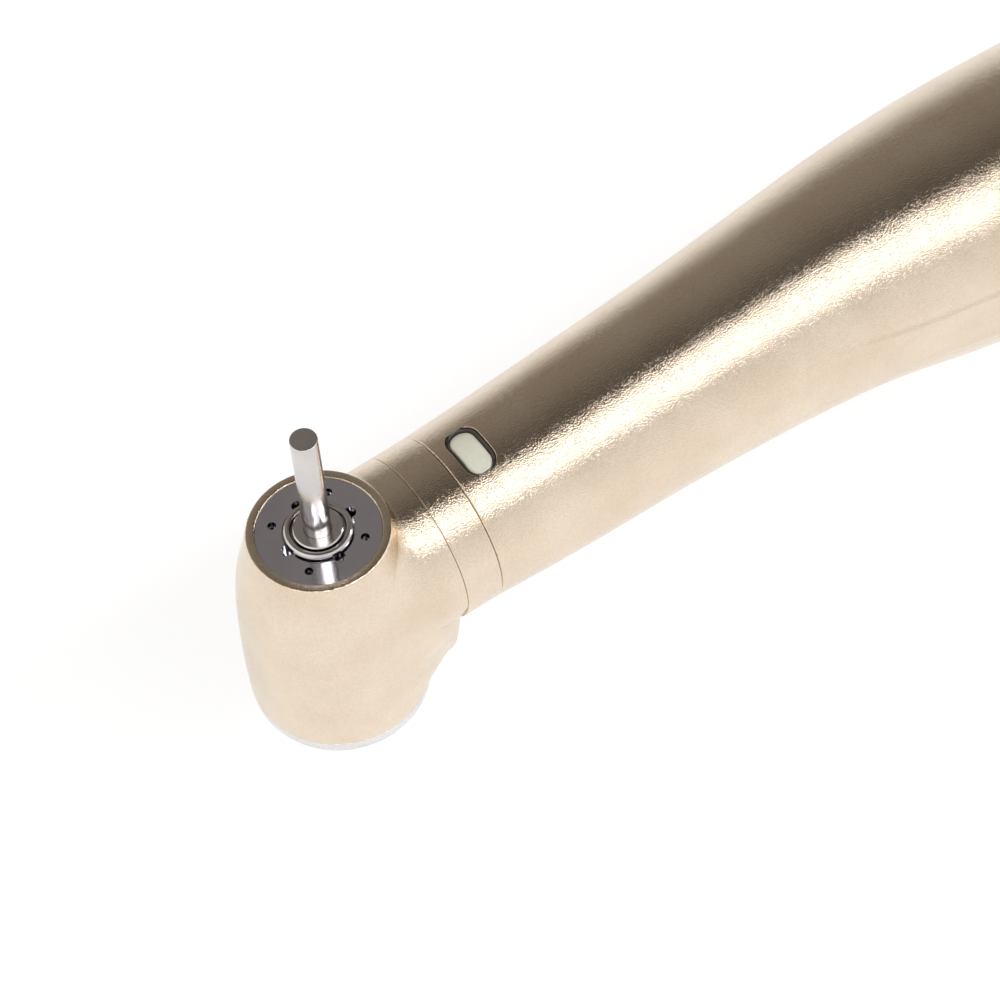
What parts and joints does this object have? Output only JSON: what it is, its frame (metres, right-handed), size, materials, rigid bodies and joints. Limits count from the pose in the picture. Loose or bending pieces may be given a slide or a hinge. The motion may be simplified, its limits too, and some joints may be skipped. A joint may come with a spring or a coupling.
{
  "type": "high speed dental handpiece",
  "caption": "Contra-angle speed-raising dental handpiece with push-button chuck, friction-grip bur, spray face, light window and motor coupling.",
  "frame": {"origin": "centre of the rear coupling face, on the motor bore's axis", "axes": "+X out of the motor bore along the rear handle, +Z towards the side the bur points to, the neck and head lie towards -X"},
  "size_m": [0.096, 0.0188, 0.0255],
  "materials": {
    "champagne_metal": "fine blasted satin with a champagne tint",
    "mirror_steel": "polished",
    "cap_silver": "satin",
    "bur_steel": "ground and polished",
    "bearing_steel": "polished",
    "gear_steel": "ground",
    "spring_steel": "drawn wire",
    "carrier_brass": "turned",
    "seal_rubber": "matt",
    "gasket_black": "gloss",
    "window_glass": "clear with a faint warm tint",
    "band_red": "gloss enamel",
    "pipe_steel": "drawn"
  },
  "bodies": {
    "housing": {"head_housing": "champagne_metal", "collar_ring": "champagne_metal", "body_shell": "champagne_metal", "rear_grip": "champagne_metal", "end_ring": "champagne_metal", "face_ring": "mirror_steel", "cap_ring": "cap_silver", "spindle_front_outer_ring": "bearing_steel", "spindle_rear_outer_ring": "bearing_steel", "neck_front_outer_ring": "bearing_steel", "neck_rear_outer_ring": "bearing_steel", "drive_front_outer_ring": "bearing_steel", "drive_rear_outer_ring": "bearing_steel", "head_wave_washer": "spring_steel", "drive_wave_washer": "spring_steel", "neck_circlip": "spring_steel", "bearing_holder": "carrier_brass", "neck_carrier": "carrier_brass", "elbow_carrier": "carrier_brass", "bearing_sleeve": "carrier_brass", "coupling_sleeve": "cap_silver", "neck_seal": "seal_rubber", "window_gasket": "gasket_black", "window_lens": "window_glass", "light_guide": "window_glass", "colour_band": "band_red", "water_tube": "pipe_steel", "air_tube": "pipe_steel"},
    "drive": {"drive_shaft": "gear_steel", "cup_gear": "gear_steel", "drive_dog": "gear_steel", "dog_pin": "gear_steel", "drive_front_inner_ring": "bearing_steel", "drive_rear_inner_ring": "bearing_steel"},
    "neck_drive": {"neck_shaft": "gear_steel", "crown_gear": "gear_steel", "elbow_pinion": "gear_steel", "neck_front_inner_ring": "bearing_steel", "neck_rear_inner_ring": "bearing_steel"},
    "rotor": {"spindle": "bur_steel", "chuck_collet": "bur_steel", "spindle_front_inner_ring": "bearing_steel", "spindle_rear_inner_ring": "bearing_steel"},
    "bur": {"bur": "bur_steel"},
    "button": {"push_button": "cap_silver", "button_spring": "spring_steel"},
    "spindle_front_cage": {"spindle_front_balls": "bearing_steel"},
    "spindle_rear_cage": {"spindle_rear_balls": "bearing_steel"},
    "neck_front_cage": {"neck_front_balls": "bearing_steel"},
    "neck_rear_cage": {"neck_rear_balls": "bearing_steel"},
    "drive_front_cage": {"drive_front_balls": "bearing_steel"},
    "drive_rear_cage": {"drive_rear_balls": "bearing_steel"}
  },
  "joints": [
    {"name": "drive_spin", "type": "hinge", "parent": "housing", "child": "drive", "pos_m": [-0.03, 0, 0], "axis": [1, 0, 0], "continuous": true},
    {"name": "neck_spin", "type": "hinge", "parent": "housing", "child": "neck_drive", "pos_m": [-0.09064, 0, -0.00515], "axis": [0.9903, 0, 0.1392], "continuous": true},
    {"name": "rotor_spin", "type": "hinge", "parent": "housing", "child": "rotor", "pos_m": [-0.09064, 0, -0.00515], "axis": [-0.1392, 0, 0.9903], "continuous": true},
    {"name": "drive_front_cage_spin", "type": "hinge", "parent": "housing", "child": "drive_front_cage", "pos_m": [-0.03, 0, 0], "axis": [1, 0, 0], "continuous": true},
    {"name": "drive_rear_cage_spin", "type": "hinge", "parent": "housing", "child": "drive_rear_cage", "pos_m": [-0.03, 0, 0], "axis": [1, 0, 0], "continuous": true},
    {"name": "neck_front_cage_spin", "type": "hinge", "parent": "housing", "child": "neck_front_cage", "pos_m": [-0.09064, 0, -0.00515], "axis": [0.9903, 0, 0.1392], "continuous": true},
    {"name": "neck_rear_cage_spin", "type": "hinge", "parent": "housing", "child": "neck_rear_cage", "pos_m": [-0.09064, 0, -0.00515], "axis": [0.9903, 0, 0.1392], "continuous": true},
    {"name": "spindle_front_cage_spin", "type": "hinge", "parent": "housing", "child": "spindle_front_cage", "pos_m": [-0.09064, 0, -0.00515], "axis": [-0.1392, 0, 0.9903], "continuous": true},
    {"name": "spindle_rear_cage_spin", "type": "hinge", "parent": "housing", "child": "spindle_rear_cage", "pos_m": [-0.09064, 0, -0.00515], "axis": [-0.1392, 0, 0.9903], "continuous": true},
    {"name": "bur_slide", "type": "slide", "parent": "rotor", "child": "bur", "axis": [-0.1392, 0, 0.9903], "range_m": [0, 0.0115]},
    {"name": "button_slide", "type": "slide", "parent": "housing", "child": "button", "axis": [-0.1392, 0, 0.9903], "range_m": [0, 0.0005], "stiffness_N_per_m": 1500, "springref_m": -0.0008, "deforming": ["button_spring"]}
  ],
  "couplings": [
    {"joint": "neck_spin", "follows": "drive_spin", "ratio": 2.5},
    {"joint": "rotor_spin", "follows": "drive_spin", "ratio": 5},
    {"joint": "drive_front_cage_spin", "follows": "drive_spin", "ratio": 0.38182},
    {"joint": "drive_rear_cage_spin", "follows": "drive_spin", "ratio": 0.38182},
    {"joint": "neck_front_cage_spin", "follows": "drive_spin", "ratio": 0.99157},
    {"joint": "neck_rear_cage_spin", "follows": "drive_spin", "ratio": 0.99157},
    {"joint": "spindle_front_cage_spin", "follows": "drive_spin", "ratio": 2.0667},
    {"joint": "spindle_rear_cage_spin", "follows": "drive_spin", "ratio": 2.0667}
  ]
}
